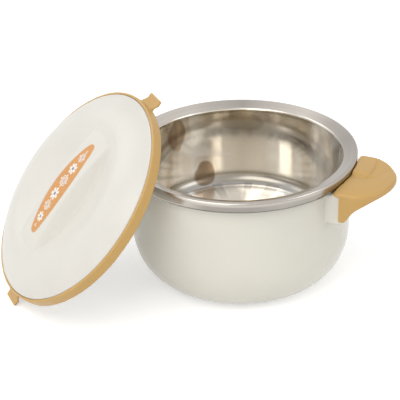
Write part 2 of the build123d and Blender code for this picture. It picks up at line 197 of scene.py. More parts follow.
def object_place(tree):
    """Place on the object, in metres."""
    return node(tree, "ShaderNodeTexCoord").outputs["Object"]


def tinted(tint, share):
    """A tint taken down or up by one share, or by a share for each channel."""
    each = (share,) * 3 if isinstance(share, float) else share
    return tuple(min(1.0, part * value) for part, value in zip(each, tint))


def shades(tint, tones):
    """Stops for a ramp: the tint taken down or up by each (place, share)."""
    return [(at, tinted(tint, share)) for at, share in tones]


SpunPlaces = namedtuple("SpunPlaces", "place facing turn radius height profile")


def round_places(tree):
    """Places on a spun piece. The turn runs from 0 to 1, and the profile is (radius, 0, height)."""
    place = object_place(tree)
    parts = node(tree, "ShaderNodeSeparateXYZ", None, Vector=place)
    x, y, height = (parts.outputs[axis] for axis in "XYZ")
    across = node(tree, "ShaderNodeCombineXYZ", None, X=x, Y=y).outputs[0]
    radius = vector_maths(tree, "LENGTH", across)
    facing = vector_maths(tree, "NORMALIZE", across)
    profile = node(tree, "ShaderNodeCombineXYZ", None, X=radius, Z=height).outputs[0]
    turn = maths(tree, "DIVIDE", maths(tree, "ARCTAN2", y, x), 2 * pi)
    turn = maths(tree, "ADD", turn, 0.5)
    return SpunPlaces(place, facing, turn, radius, height, profile)


# ---------------------------------------------------------------- materials
def moulded_plastic(name, tint, gloss, depth=0.03):
    """Smooth moulded plastic: faint mottling, a fine skin texture (depth in mm) and soft gloss."""
    made, tree, shader = new_material(name)
    place = object_place(tree)
    broad = noise(tree, place, 14.0, 3.0)
    fine = noise(tree, place, 900.0, 2.0)
    shade = ramp(tree, broad, shades(tint, ((0.3, 0.955), (0.62, 1.0), (0.8, 1.02))))
    specks = ramp(tree, fine, [(0.2, 0.97), (0.55, 1.0)])
    tree.links.new(mix(tree, 1.0, shade, specks, "MULTIPLY"), shader.inputs["Base Color"])
    tree.links.new(spread(tree, fine, gloss - 0.02, gloss + 0.03), shader.inputs["Roughness"])
    bump(tree, shader, fine, depth * MM, 0.25)
    return made


# heights on the steel, in metres, between which one finish gives way to the next
SKIRT_TO_RIM = (0.1140, 0.1155)
FLOOR_TO_WALL = (0.0412, 0.0425)
CORNER_TO_WALL = (0.048, 0.056)
# radii on the bowl's floor, in metres, between which its painted highlight wedges set in
WEDGES_BEGIN = (0.050, 0.062)

# painted reflections and shade on the steel round the turn, as (share of a turn, share of the tint)
RIM_TONES = (
    (0.0, 1.0), (0.2, 0.95), (0.26, 0.88), (0.33, 0.86), (0.42, 0.88), (0.50, 0.80), (0.60, 0.70),
    (0.655, 0.88), (0.705, 1.22), (0.76, 1.0), (0.81, 0.72), (0.86, 0.9), (0.90, 1.07), (1.0, 1.0),
)
SKIRT_TONES = (
    (0.0, 1.0), (0.155, 1.25), (0.20, 1.15), (0.24, 0.92), (0.275, 0.57), (0.33, 0.55), (0.37, 0.68),
    (0.41, 0.65), (0.50, 0.75), (0.7, 1.0), (1.0, 1.0),
)
# the bowl's wall carries painted reflections: light, mid and deep bands round the turn
LIGHT, MID, DEEP = 1.0, (0.84, 0.805, 0.75), (0.68, 0.62, 0.54)
PAINTED_WALL_REFLECTIONS = (
    (0.0, LIGHT), (0.05, MID), (0.17, LIGHT), (0.30, MID), (0.40, LIGHT), (0.47, MID), (0.555, LIGHT),
    (0.575, DEEP), (0.59, MID), (0.60, DEEP), (0.62, LIGHT), (0.64, MID), (0.655, LIGHT), (0.68, LIGHT),
    (0.70, MID), (0.712, LIGHT), (0.735, LIGHT), (0.765, MID), (0.86, MID), (0.885, LIGHT),
    (0.925, LIGHT), (0.94, DEEP), (0.965, MID), (1.0, LIGHT),
)
# how metallic the wall is, as (share of a turn, grey)
WALL_METAL = ((0.50, 1.0), (0.55, 0.6), (0.66, 0.5), (0.70, 1.0))
# painted shade in the corner between floor and wall, as (height in decimetres, grey)
CORNER_PAINTED_SHADE = ((0.4062, 1.0), (0.4075, 0.46), (0.47, 0.50), (0.50, 0.74), (0.54, 0.97), (0.62, 1.0))
# painted reflections as blots on the polished wall: place in mm, stretch of the axes, radius in mm, colour
REFLECTION_BLOTS = (
    ((-64.5, 60.0, 50.0), (1.0, 1.0, 0.8), 11.0, (0.50, 0.40, 0.31)),
    ((-82.0, 38.2, 98.0), (1.0, 1.0, 0.6), 9.5, (0.60, 0.50, 0.41)),
    ((-34.0, 84.0, 101.0), (1.0, 1.0, 2.4), 21.0, (0.78, 0.75, 0.69)),
)


def satin_steel(name, tint):
    """Spun steel of the rim and skirt: fine rings, a soft shine drawn out round them, and painted reflections
    and shade that change round the turn.
    """
    made, tree, shader = new_material(name)
    spun = round_places(tree)
    rings = noise(tree, spun.profile, 2600.0, 3.0, 0.6)
    wide_rings = noise(tree, spun.profile, 260.0, 3.0, 0.6)
    uneven = maths(tree, "ADD", spun.turn, spread(tree, noise(tree, spun.facing, 2.2, 1.0), -0.02, 0.02))
    # painted reflections and shade round the turn, one set on the rim's top and one on the skirt
    rim, skirt = [ramp(tree, uneven, shades(tint, tones)) for tones in (RIM_TONES, SKIRT_TONES)]
    painted_reflections = mix(tree, rises(tree, spun.height, SKIRT_TO_RIM), skirt, rim)
    ringed = ramp(tree, wide_rings, [(0.3, 0.93), (0.6, 1.0)])
    tree.links.new(mix(tree, 1.0, painted_reflections, ringed, "MULTIPLY"), shader.inputs["Base Color"])
    shader.inputs["Metallic"].default_value = 1.0
    shader.inputs["Anisotropic"].default_value = 0.5
    tree.links.new(spread(tree, wide_rings, 0.17, 0.25), shader.inputs["Roughness"])
    tangent = node(tree, "ShaderNodeTangent", {"direction_type": "UV_MAP", "uv_map": "UVMap"})
    tree.links.new(tangent.outputs[0], shader.inputs["Tangent"])
    relief = maths(tree, "ADD", maths(tree, "MULTIPLY", rings, 0.35), wide_rings)
    bump(tree, shader, relief, 0.012 * MM, 0.2)
    return made


def reflection_blot(tree, place, at, stretch, radius):
    """One inside a soft-edged uneven blot round a place in mm, and zero outside it."""
    middle = tuple(value * MM * factor for value, factor in zip(at, stretch))
    away = vector_maths(tree, "DISTANCE", vector_maths(tree, "MULTIPLY", place, stretch), middle)
    ragged = 0.35 * radius * MM
    away = maths(tree, "ADD", away, spread(tree, noise(tree, place, 60.0, 1.0), -ragged, ragged))
    made = node(
        tree, "ShaderNodeMapRange", {"interpolation_type": "SMOOTHSTEP"}, Value=away,
        From_Min=0.88 * radius * MM, From_Max=1.12 * radius * MM, To_Min=1.0, To_Max=0.0,
    )
    return made.outputs["Result"]


def polished_steel(name, tint):
    """Bright steel inside the bowl: painted reflections as upright streaks and warm blots, a duller corner
    with painted shade, and painted highlight wedges on the floor.
    """
    made, tree, shader = new_material(name)
    spun = round_places(tree)
    lifted = maths(tree, "MULTIPLY", spun.height, 22.0)
    lifted = node(tree, "ShaderNodeCombineXYZ", None, Z=lifted).outputs[0]
    waves = noise(tree, vector_maths(tree, "ADD", spun.facing, lifted), 2.4, 1.0)
    wavy_turn = maths(tree, "ADD", spun.turn, spread(tree, waves, -0.03, 0.03))
    # painted reflections: upright bands round the wall that waver with height
    wall = ramp(tree, wavy_turn, shades(tint, PAINTED_WALL_REFLECTIONS))
    # painted reflections: warm blots laid over the wall
    for at, stretch, radius, shade in REFLECTION_BLOTS:
        wall = mix(tree, reflection_blot(tree, spun.place, at, stretch, radius), wall, shade, "MULTIPLY")
    # painted highlights: wedges of bright and darker steel round the floor
    highlight_wedges = ramp(tree, noise(tree, spun.facing, 5.5, 1.0), [(0.43, 0.76), (0.45, 1.0)])
    floor = mix(tree, rises(tree, spun.radius, WEDGES_BEGIN), (0.95, 0.95, 0.95), highlight_wedges)
    shade = mix(tree, rises(tree, spun.height, FLOOR_TO_WALL), floor, wall)
    # painted shade: the corner between floor and wall is darkened
    corner = ramp(tree, maths(tree, "MULTIPLY", spun.height, 10.0), CORNER_PAINTED_SHADE)
    tree.links.new(mix(tree, 1.0, shade, corner, "MULTIPLY"), shader.inputs["Base Color"])
    tree.links.new(ramp(tree, spun.turn, WALL_METAL), shader.inputs["Metallic"])
    grained = spread(tree, noise(tree, spun.profile, 700.0, 2.0), 0.05, 0.10)
    rough = mix(tree, rises(tree, spun.height, CORNER_TO_WALL), (0.24, 0.24, 0.24), grained)
    tree.links.new(rough, shader.inputs["Roughness"])
    drawn = vector_maths(tree, "MULTIPLY", spun.place, (1.0, 1.0, 0.6))
    bump(tree, shader, noise(tree, drawn, 30.0, 1.0), 0.5 * MM, 0.17)
    return made


def zinc(name):
    """Zinc-plated screw steel."""
    made, tree, shader = new_material(name)
    grain = noise(tree, object_place(tree), 1400.0, 3.0)
    shade = ramp(tree, grain, [(0.3, (0.38, 0.37, 0.34)), (0.7, (0.6, 0.59, 0.55))])
    tree.links.new(shade, shader.inputs["Base Color"])
    shader.inputs["Metallic"].default_value = 1.0
    tree.links.new(spread(tree, grain, 0.28, 0.42), shader.inputs["Roughness"])
    bump(tree, shader, grain, 0.02 * MM, 0.3)
    return made


def foam(name):
    """Cut rigid foam with fine cells."""
    made, tree, shader = new_material(name)
    place = object_place(tree)
    cells = node(tree, "ShaderNodeTexVoronoi", None, Vector=place, Scale=700.0).outputs["Distance"]
    shade = ramp(tree, cells, [(0.0, (0.60, 0.50, 0.28)), (0.6, (0.86, 0.78, 0.55))])
    tree.links.new(shade, shader.inputs["Base Color"])
    shader.inputs["Roughness"].default_value = 0.9
    bump(tree, shader, cells, 0.3 * MM, 0.6)
    return made


def ink(name, tint):
    """Printed ink with slight unevenness."""
    made, tree, shader = new_material(name)
    patchy = noise(tree, object_place(tree), 420.0, 3.0)
    shade = ramp(tree, patchy, shades(tint, ((0.35, 0.9), (0.6, 1.0))))
    tree.links.new(shade, shader.inputs["Base Color"])
    tree.links.new(spread(tree, patchy, 0.28, 0.40), shader.inputs["Roughness"])
    bump(tree, shader, patchy, 0.01 * MM, 0.2)
    return made


MATERIALS = {}


def material(name):
    """The named finish, made the first time it is asked for."""
    if name not in MATERIALS:
        tints = colours()
        make, *values = {
            "shell_plastic": (moulded_plastic, tints.shell, 0.20),
            "lid_plastic": (moulded_plastic, tints.lid, 0.36),
            "mustard_plastic": (moulded_plastic, tints.mustard, 0.36, 0.05),
            "satin_steel": (satin_steel, tints.steel),
            "polished_steel": (polished_steel, tints.bowl),
            "zinc": (zinc,),
            "foam": (foam,),
            "label_ground": (ink, tints.label),
            "label_light": (ink, tints.petal),
            "label_dot": (ink, tints.dot),
        }[name]
        MATERIALS[name] = make(name, *values)
    return MATERIALS[name]


# ---------------------------------------------------------------- mesh helpers
def lid_matrix():
    """Place of the leaning lid: its own frame has z = 0 at the underside of its ring."""
    tilt, facing = radians(49.34), radians(227.97)
    origin = Vector((-0.113842, -0.0885135, 0.0866258))
    normal = Vector((cos(facing) * sin(tilt), sin(facing) * sin(tilt), cos(tilt)))
    upward = Vector((-cos(facing) * cos(tilt), -sin(facing) * cos(tilt), sin(tilt)))
    side = normal.cross(upward)
    turn = Matrix((upward, side, normal)).transposed().to_4x4()
    return Matrix.Translation(origin) @ turn


def dress_node(name, finish):
    """Give a kept solid its finish."""
    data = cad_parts[name].data
    data.materials.clear()
    data.materials.append(material(finish))


def finish_piece(name, verts, faces, finish, body, replaced, uvs=None, matrix=None, sharp=None):
    """Make a smooth piece, with edges sharper than an angle kept, put it in its place and hand it over."""
    mesh = bpy.data.meshes.new(name)
    mesh.from_pydata([tuple(v) for v in verts], [], faces)
    if uvs is not None:
        flat = [value for face in uvs for corner in face for value in corner]
        mesh.uv_layers.new(name="UVMap").data.foreach_set("uv", flat)
    mesh.validate()
    if matrix is not None:
        mesh.transform(matrix)
    mesh.shade_smooth()
    if sharp is not None:
        mesh.set_sharp_from_angle(angle=radians(sharp))
    return hand_over(name, mesh, finish, body, replaced)


def hand_over(name, mesh, finish, body, replaced=()):
    piece = bpy.data.objects.new(name, mesh)
    bpy.context.scene.collection.objects.link(piece)
    mesh.materials.clear()
    mesh.materials.append(material(finish))
    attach(piece, body)
    if replaced:
        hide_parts(*replaced)
    return piece


def rounded(points, steps):
    """Polyline through (x, y, radius) corners, each corner rounded with its radius in steps."""
    path = []
    last = len(points) - 1
    for index, (x, y, radius) in enumerate(points):
        here = Vector((x, y))
        if index in (0, last) or radius <= 0:
            path.append(here)
            continue
        before = (Vector(points[index - 1][:2]) - here).normalized()
        after = (Vector(points[index + 1][:2]) - here).normalized()
        half = before.angle(after) / 2
        if half > pi / 2 - 0.01:
            path.append(here)
            continue
        reach = radius / tan(half)
        centre = here + (before + after).normalized() * (radius / sin(half))
        start, end = here + before * reach - centre, here + after * reach - centre
        sweep = start.angle_signed(end)
        for step in range(steps + 1):
            turn = Matrix.Rotation(-sweep * step / steps, 2)
            path.append(centre + turn @ start)
    return path


def dense(path, spacing):
    """Add points so that no run of a polyline is longer than spacing."""
    out = [path[0]]
    for start, end in zip(path, path[1:]):
        count = max(1, int((end - start).length / spacing + 0.999))
        out += [start.lerp(end, step / count) for step in range(1, count + 1)]
    return out


def round_row(verts, radius, height):
    """Add a round of vertices, or one on the axis, at the height that x and y give. Returns their indices."""
    start = len(verts)
    if radius < 1e-6:
        verts.append((0.0, 0.0, height(0.0, 0.0)))
        return [start] * TURN
    for step in range(TURN):
        angle = 2 * pi * step / TURN
        x, y = radius * cos(angle), radius * sin(angle)
        verts.append((x, y, height(x, y)))
    return list(range(start, start + TURN))


def lathe(path):
    """Turn a profile (radius, height) round +Z. Gives vertices, faces and UVs."""
    verts, faces, uvs = [], [], []
    rows = [round_row(verts, point.x, lambda x, y, level=point.y: level) for point in path]
    runs = [0.0]
    for before, after in zip(path, path[1:]):
        runs.append(runs[-1] + (after - before).length)
    for low, high, bottom, top in zip(rows, rows[1:], runs, runs[1:]):
        for step in range(TURN):
            after = (step + 1) % TURN
            left, right = step / TURN, (step + 1) / TURN
            corners = [low[step], low[after], high[after], high[step]]
            places = [(left, bottom), (right, bottom), (right, top), (left, top)]
            kept = {}
            for corner, place in zip(corners, places):
                kept.setdefault(corner, place)
            if len(kept) > 2:
                faces.append(list(kept))
                uvs.append(list(kept.values()))
    return verts, faces, uvs


def smooth_min(a, b, soft):
    """Lower of two heights, with a soft change of about the given size."""
    share = min(1.0, max(0.0, 0.5 + 0.5 * (b - a) / soft))
    return b * (1 - share) + a * share - soft * share * (1 - share)


def smooth_max(a, b, soft):
    """Higher of two heights, with the same soft change."""
    return -smooth_min(-a, -b, soft)


def circle_through(a, b, c):
    """Centre and radius of the circle through three points."""
    (ax, ay), (bx, by), (cx, cy) = a, b, c
    d = 2 * (ax * (by - cy) + bx * (cy - ay) + cx * (ay - by))
    a2, b2, c2 = ax * ax + ay * ay, bx * bx + by * by, cx * cx + cy * cy
    x = (a2 * (by - cy) + b2 * (cy - ay) + c2 * (ay - by)) / d
    y = (a2 * (cx - bx) + b2 * (ax - cx) + c2 * (bx - ax)) / d
    return x, y, hypot(ax - x, ay - y)


def softened_copy(node_name, voxel, rounds):
    """A copy of a solid, merged in voxels (size in mm), its edges softened the way a mould leaves them."""
    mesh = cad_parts[node_name].data.copy()
    work = bmesh.new()
    work.from_mesh(mesh)
    bmesh.ops.remove_doubles(work, verts=work.verts, dist=0.002 * MM)
    work.to_mesh(mesh)
    work.free()
    holder = bpy.data.objects.new(node_name + "_work", mesh)
    bpy.context.scene.collection.objects.link(holder)
    remesh = holder.modifiers.new("remesh", "REMESH")
    remesh.mode = "VOXEL"
    remesh.voxel_size = voxel * MM
    smooth = holder.modifiers.new("smooth", "SMOOTH")
    smooth.factor = 0.5
    smooth.iterations = rounds
    bpy.context.view_layer.update()
    graph = bpy.context.evaluated_depsgraph_get()
    result = bpy.data.meshes.new_from_object(holder.evaluated_get(graph))
    bpy.data.objects.remove(holder)
    result.shade_smooth()
    return result


# ---------------------------------------------------------------- pot pieces
def steel_profile():
    """Closed profile of the pressed sheet: bowl, sloping rim and skirt."""
    size = sizes()
    half, shy = 0.3 * MM, 0.04 * MM                         # half the sheet, and the skirt's gap to its size
    height, mouth = size.pot_height, size.mouth_radius
    edge, fall, bend = 2.5 * MM, 3.9 * MM, 2.2 * MM         # the rim's edge, its slope and its outer bend
    lean, corner, neck = 5.2 * MM, 12.2 * MM, 2.6 * MM      # the wall's lean and the bends at its two ends
    skirt_depth = 9 * MM
    skirt = size.rim_radius - half - shy
    width = size.rim_radius - edge - mouth
    slope = fall / width
    line = height - edge + bend * sqrt(1 + slope**2)
    floor = height - size.bowl_depth - half
    middle = [
        (0.0, floor, 0),
        (mouth - lean, floor, corner),
        (mouth + half, line - (width - half) * slope, neck),
        (skirt, line + bend * slope, bend),
        (skirt, height - skirt_depth, 0),
    ]
    path = dense(rounded(middle, 10), 2.5 * MM)
    left, right = [], []
    for index, point in enumerate(path):
        before = path[max(0, index - 1)]
        after = path[min(len(path) - 1, index + 1)]
        along = (after - before).normalized()
        across = Vector((-along.y, along.x)) if index else Vector((0, 1))
        left.append(point + across * half)
        right.append(point - across * half)
    left[0].x = right[0].x = 0.0
    return left + list(reversed(right))


class CASSEROLE_OT_bowl(bpy.types.Operator):
    """Pressed steel bowl with its sloping rim and skirt"""

    bl_idname = "casserole.bowl"
    bl_label = "Steel bowl"

    def execute(self, context):
        verts, faces, uvs = lathe(steel_profile())
        faces = [list(reversed(face)) for face in faces]
        uvs = [list(reversed(face)) for face in uvs]
        piece = finish_piece(
            "steel_bowl", verts, faces, "satin_steel", "pot", ["inner_bowl"], uvs
        )
        mesh = piece.data
        mesh.materials.append(material("polished_steel"))
        inside = sizes().mouth_radius + 0.2 * MM
        for polygon in mesh.polygons:
            if polygon.center.xy.length < inside:
                polygon.material_index = 1
        return {"FINISHED"}


class CASSEROLE_OT_shell(bpy.types.Operator):
    """Moulded outer shell with its handle bosses"""

    bl_idname = "casserole.shell"
    bl_label = "Outer shell"

    def execute(self, context):
        for name in ("outer_shell", "base_cover", "base_plug"):
            dress_node(name, "shell_plastic")
        return {"FINISHED"}


# outline of the tab rest on the right handle's top, seen from above, in mm
REST_OUTLINE = (
    (102.0, 0.3), (105.0, -0.4), (112.6, -2.0), (120.0, -1.7), (121.9, 5.8), (121.6, 16.0), (119.5, 26.3),
    (117.0, 33.5),
)
# dent along that outline: depth, and how far it reaches on the rest and beyond it, in mm
PRESS_DEPTH, PRESS_INSIDE, PRESS_BEYOND = 0.75, 0.5, 4.5
# only the handle's top is pressed: what lies above a height in mm and has a normal that points up this much
EAR_TOP, FACES_UP = 108.0, 0.35


def press_outline(mesh, side):
    """Press the outline of the tab rest into a handle's top: steep on the rest, fading out beyond it."""
    count = len(mesh.vertices)
    places, normals = np.empty(3 * count), np.empty(3 * count)
    mesh.vertices.foreach_get("co", places)
    mesh.vertices.foreach_get("normal", normals)
    places, normals = places.reshape(-1, 3) / MM, normals.reshape(-1, 3)
    flat = places[:, :2] * side
    nearest, inside = np.full(count, np.inf), np.zeros(count, bool)
    for start, end in zip(np.array(REST_OUTLINE), np.array(REST_OUTLINE[1:])):
        along, away = end - start, flat - start
        share = np.clip(away @ along / (along @ along), 0, 1)
        distance = np.linalg.norm(away - share[:, None] * along, axis=1)
        closer = distance < nearest
        nearest[closer] = distance[closer]
        left = along[0] * away[:, 1] - along[1] * away[:, 0] > 0
        inside[closer] = left[closer]
    reach = np.where(inside, PRESS_INSIDE, PRESS_BEYOND)
    depth = PRESS_DEPTH * np.exp(-((nearest / reach) ** 2))
    top = (normals[:, 2] > FACES_UP) & (places[:, 2] > EAR_TOP)
    places[top, 2] -= depth[top]
    mesh.vertices.foreach_set("co", (places * MM).ravel())
    mesh.update()


class CASSEROLE_OT_handles(bpy.types.Operator):
    """Both hollow ear handles"""

    bl_idname = "casserole.handles"
    bl_label = "Handles"

    def execute(self, context):
        for side, turn in (("left", -1), ("right", 1)):
            mesh = softened_copy(f"handle_{side}", voxel=0.5, rounds=2)
            press_outline(mesh, turn)
            hand_over(f"ear_{side}", mesh, "mustard_plastic", "pot", [f"handle_{side}"])
        dress_node("handle_screws", "zinc")
        return {"FINISHED"}


# ---------------------------------------------------------------- lid pieces
# sizes of the lid's top, in mm
CREST = (66.0, 22.9), (86.0, 17.9), (99.3, 9.0)         # radius and height of points on the round shoulder
DISH_CENTRE, DISH_RADIUS, DISH_REACH = 189.9, 179.9, 100.0      # sphere that hollows the top
GRIP_HALF, GRIP_BASE, GRIP_FLANK = 16.8, 26.0, 2.08     # half width at a height, and steepness of the flanks
ARCH_SPREAD = 600.0                                     # the bar's top falls by the square of x over this
CREST_SOFT, FLANK_SOFT, ROOT_SOFT = 2.2, 1.8, 1.1       # softness of the edges between them
COVER_RADIUS, COVER_ROUNDS = 98.6, 118
COVER_EDGE = (99.0, -0.35), (99.25, -0.9), (99.3, -1.6)         # radius and fall beyond the top
COVER_UNDERSIDE = (99.3, 2.0), (97.1, 2.0), (97.1, 6.0), (90.0, 10.0), (60.0, 13.0), (0.0, 7.4)
# closed profile of the liner: radius, height and rounding of each corner, in mm
LINER = (
    (0.0, -6.8, 0), (40.0, -6.8, 1.0), (42.0, -8.0, 1.0), (89.5, -8.0, 2.5), (90.0, 2.0, 0),
    (96.8, 2.0, 0), (96.8, 4.0, 0), (88.0, 4.0, 1.0), (87.6, -6.0, 1.5), (0.0, -4.8, 0),
)

SHOULDER = circle_through(*CREST)


def arch(x):
    """Height of the grip bar's top in mm."""
    return sizes().grip_height / MM - x * x / ARCH_SPREAD


def cover_height(x, y):
    """Height of the lid's top at a place, in mm: crest, dish and grip bar blended."""
    away = hypot(x, y)
    middle, level, radius = SHOULDER
    inner, crest = CREST[0]
    shoulder = crest if away < inner else level + sqrt(max(0.0, radius**2 - (away - middle) ** 2))
    dish = DISH_CENTRE - sqrt(DISH_RADIUS**2 - min(away, DISH_REACH) ** 2)
    base = smooth_min(shoulder, dish, CREST_SOFT)
    flank = GRIP_BASE + (GRIP_HALF - abs(y)) * GRIP_FLANK
    bar = smooth_min(arch(x), flank, FLANK_SOFT)
    return smooth_max(base, bar, ROOT_SOFT)


class CASSEROLE_OT_lid_cover(bpy.types.Operator):
    """Moulded lid cover with its dish and grip bar"""

    bl_idname = "casserole.lid_cover"
    bl_label = "Lid cover"

    def execute(self, context):
        verts, faces = [], []
        radii = (0.0, *np.linspace(0.9, COVER_RADIUS, COVER_ROUNDS))
        rows = [round_row(verts, radius, cover_height) for radius in radii]
        edge_top = cover_height(COVER_RADIUS, 0.0)
        below = [(radius, edge_top + fall) for radius, fall in COVER_EDGE] + list(COVER_UNDERSIDE)
        rows += [round_row(verts, radius, lambda x, y, level=height: level) for radius, height in below]
        verts = [tuple(value * MM for value in vert) for vert in verts]
        for low, high in zip(rows, rows[1:]):
            for step in range(TURN):
                after = (step + 1) % TURN
                face = list(dict.fromkeys([low[step], high[step], high[after], low[after]]))
                if len(face) > 2:
                    faces.append(face)
        finish_piece(
            "lid_top", verts, faces, "lid_plastic", "lid", ["lid_cover"],
            matrix=lid_matrix(), sharp=50,
        )
        return {"FINISHED"}


class CASSEROLE_OT_lid_ring(bpy.types.Operator):
    """Ring round the lid with its two tabs"""

    bl_idname = "casserole.lid_ring"
    bl_label = "Lid ring"

    def execute(self, context):
        mesh = softened_copy("lid_ring", voxel=0.65, rounds=1)
        hand_over("mustard_ring", mesh, "mustard_plastic", "lid", ["lid_ring"])
        return {"FINISHED"}


class CASSEROLE_OT_lid_inside(bpy.types.Operator):
    """Liner and foam of the lid, and the foam of the pot"""

    bl_idname = "casserole.lid_inside"
    bl_label = "Lid liner and foam"

    def execute(self, context):
        path = dense([point * MM for point in rounded(LINER, 6)], 4 * MM)
        verts, faces, uvs = lathe(path)
        finish_piece(
            "plug_liner", verts, faces, "lid_plastic", "lid", ["lid_liner"], uvs,
            matrix=lid_matrix(), sharp=40,
        )
        for name in ("lid_foam", "body_foam"):
            dress_node(name, "foam")
        return {"FINISHED"}


# ---------------------------------------------------------------- printed insert
# sizes of the insert, in mm: its half width, the point where its arcs would meet, and its rounded ends
INSERT_HALF, INSERT_POINT, INSERT_TIP = 12.8, 58.0, 6.0
# layers of the insert: height above the grip bar's top, and inset of the outline
INSERT_TOP = 0.16
INSERT_LAYERS = (INSERT_TOP, 0.35), (0.08, 0.08), (-0.1, 0.0), (-0.7, 0.0)
INSERT_STEPS, INSERT_COLUMNS = 60, 12
# print on it: place along the insert and radius of each motif, in mm
FLOWERS = (-31.4, 4.9), (-7.2, 6.2), (20.0, 5.7)
SQUARES = (-19.2, 5.0), (6.8, 5.8), (32.4, 4.6)
END_DOTS = (-40.2, 1.9), (38.8, 1.6)
MIDDLES = (0.27, FLOWERS), (0.17, SQUARES)          # share of a motif's radius that its middle takes


def insert_half_width(x, inset):
    """Half width of the insert at a place along it, in mm: two arcs with rounded ends."""
    tip = INSERT_TIP - inset
    radius = (INSERT_POINT**2 + INSERT_HALF**2) / (2 * INSERT_HALF)
    end = sizes().label_length / MM / 2 - inset
    arc = sqrt(radius**2 - x * x) - (radius - INSERT_HALF) - inset
    past = abs(x) - (end - tip)
    return min(arc, sqrt(max(0.0, tip**2 - past**2))) if past > 0 else arc


class CASSEROLE_OT_insert(bpy.types.Operator):
    """Oval insert in the grip bar and its printed flowers and squares"""

    bl_idname = "casserole.insert"
    bl_label = "Printed insert"

    def execute(self, context):
        end = sizes().label_length / MM / 2
        places = [end * sin(pi / 2 * step / INSERT_STEPS) for step in range(-INSERT_STEPS, INSERT_STEPS + 1)]
        layers, verts, faces = [], [], []
        for lift, inset in INSERT_LAYERS:
            grid = []
            for place in places:
                x = place * (1 - inset / end)
                wide = insert_half_width(x, inset)
                grid.append(range(len(verts), len(verts) + INSERT_COLUMNS + 1))
                for step in range(INSERT_COLUMNS + 1):
                    y = wide * (2 * step / INSERT_COLUMNS - 1)
                    verts.append((x * MM, y * MM, (arch(x) + lift) * MM))
            layers.append(grid)
        for grid, order in ((layers[0], 1), (layers[-1], -1)):
            for low, high in zip(grid, grid[1:]):
                faces += [corners[::order] for corners in zip(low, high, high[1:], low[1:])]
        for upper, lower in zip(layers, layers[1:]):
            for edge, order in ((0, 1), (INSERT_COLUMNS, -1)):
                for near in range(len(places) - 1):
                    far = near + 1
                    corners = (upper[near][edge], lower[near][edge], lower[far][edge], upper[far][edge])
                    faces.append(corners[::order])
        piece = finish_piece(
            "printed_insert", verts, faces, "label_ground", "lid", ["grip_insert"],
            matrix=lid_matrix(),
        )
        clean_mesh(piece.data)
        centres = [(x, share * radius) for share, row in MIDDLES for x, radius in row]
        print_row("flowers", flower, "label_light", {"Petals": 7}, FLOWERS)
        print_row("squares", square, "label_light", {"Petals": 4}, SQUARES)
        print_row("dots", dots, "label_light", {"Petals": 3}, END_DOTS)
        print_row("centres", centre, "label_dot", {"Thickness": 0.16}, centres)
        return {"FINISHED"}


def clean_mesh(mesh):
    """Merge doubles and drop faces and edges that have no size."""
    work = bmesh.new()
    work.from_mesh(mesh)
    bmesh.ops.remove_doubles(work, verts=work.verts, dist=0.004 * MM)
    bmesh.ops.dissolve_degenerate(work, edges=work.edges, dist=0.002 * MM)
    bmesh.ops.recalc_face_normals(work, faces=work.faces)
    work.to_mesh(mesh)
    work.free()


def print_tree(name, motif, finish):
    """Tree that puts a motif on every point it is given, as large as the point's size, in one finish."""
    tree = bpy.data.node_groups.new(name, "GeometryNodeTree")
    inputs = (("Points", "Geometry", None), ("Petals", "Int", 6), ("Thickness", "Float", 0.1))
    for label, kind, value in inputs:
        socket = tree.interface.new_socket(label, in_out="INPUT", socket_type="NodeSocket" + kind)
        if value is not None:
            socket.default_value = value
    tree.interface.new_socket("Geometry", in_out="OUTPUT", socket_type="NodeSocketGeometry")
    given, output = tree.nodes.new("NodeGroupInput"), tree.nodes.new("NodeGroupOutput")
    join = tree.nodes.new("GeometryNodeJoinGeometry")
    for part in motif(tree, given.outputs["Petals"], given.outputs["Thickness"]):
        tree.links.new(part, join.inputs[0])
    named = node(tree, "GeometryNodeInputNamedAttribute", {"data_type": "FLOAT"}, Name="size")
    size = named.outputs["Attribute"]
    scale = node(tree, "ShaderNodeCombineXYZ", None, X=size, Y=size, Z=1.0).outputs[0]
    placed = node(
        tree, "GeometryNodeInstanceOnPoints", None, Points=given.outputs["Points"], Instance=join.outputs[0],
        Scale=scale,
    )
    real = node(tree, "GeometryNodeRealizeInstances", None, Geometry=placed.outputs[0])
    shade = node(tree, "GeometryNodeSetMaterial", None, Geometry=real.outputs[0], Material=material(finish))
    tree.links.new(shade.outputs[0], output.inputs[0])
    return tree


def disc(tree, radius, thickness, sides=12):
    """Flat disc about the origin."""
    made = node(tree, "GeometryNodeMeshCylinder", None, Vertices=sides, Radius=radius, Depth=thickness)
    return made.outputs["Mesh"]


def disc_round(tree, count, away, radius, thickness):
    """Discs in a round, each a given distance from its middle."""
    ring = node(tree, "GeometryNodeCurvePrimitiveCircle", None, Resolution=count, Radius=away)
    points = node(tree, "GeometryNodeCurveToPoints", {"mode": "EVALUATED"}, Curve=ring.outputs[0])
    one = disc(tree, radius, thickness)
    return node(tree, "GeometryNodeInstanceOnPoints", None, Points=points.outputs[0], Instance=one).outputs[0]


def flower(tree, petals, thickness):
    """Round of petals about a light middle."""
    return [disc_round(tree, petals, 0.74, 0.25, thickness), disc(tree, 0.56, thickness, 24)]


def square(tree, petals, thickness):
    """Rounded square drawn with lines, a smaller one inside it and leaves outside."""
    parts = [disc(tree, 0.3, thickness, 16), disc_round(tree, petals, 0.97, 0.15, thickness)]
    for side in (1.45, 0.92):
        outline, nib = [
            node(tree, "GeometryNodeCurvePrimitiveQuadrilateral", None, Width=width, Height=height).outputs[0]
            for width, height in ((side, side), (0.15, thickness))
        ]
        bent = node(
            tree, "GeometryNodeFilletCurve", {"mode": "POLY"}, Curve=outline, Count=4, Radius=0.2 * side
        )
        line = node(tree, "GeometryNodeCurveToMesh", None, Curve=bent.outputs[0], Profile_Curve=nib)
        parts.append(line.outputs[0])
    return parts


